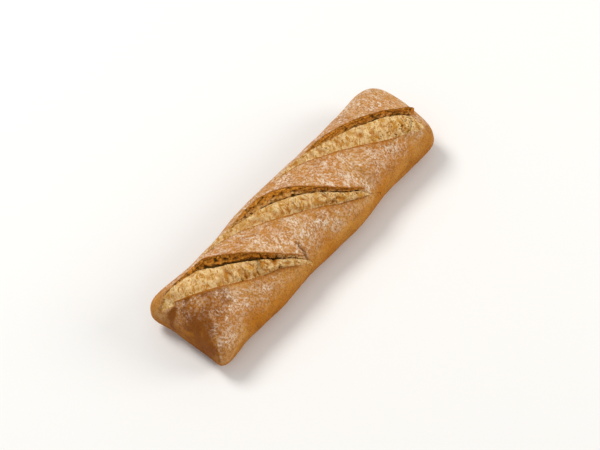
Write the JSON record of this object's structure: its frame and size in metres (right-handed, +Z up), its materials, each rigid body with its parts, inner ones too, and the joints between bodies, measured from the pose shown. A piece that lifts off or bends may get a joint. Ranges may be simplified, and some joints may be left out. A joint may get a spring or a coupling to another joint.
{
  "type": "ciabatta loaf",
  "caption": "Long low hearth-baked bread loaf, flat underneath, its floured crust opened by slanting cuts into lifted ears over pale crumb.",
  "frame": {"origin": "middle of the flat base, where the loaf rests", "axes": "+X along the loaf towards its rounder end, +Y towards the flank where the cuts start, +Z up"},
  "size_m": [0.3, 0.0866, 0.058],
  "materials": {
    "crust": "matt floured crust, golden brown, with pale open crumb in the cuts"
  },
  "bodies": {
    "root": {"loaf": "crust"}
  },
  "joints": []
}
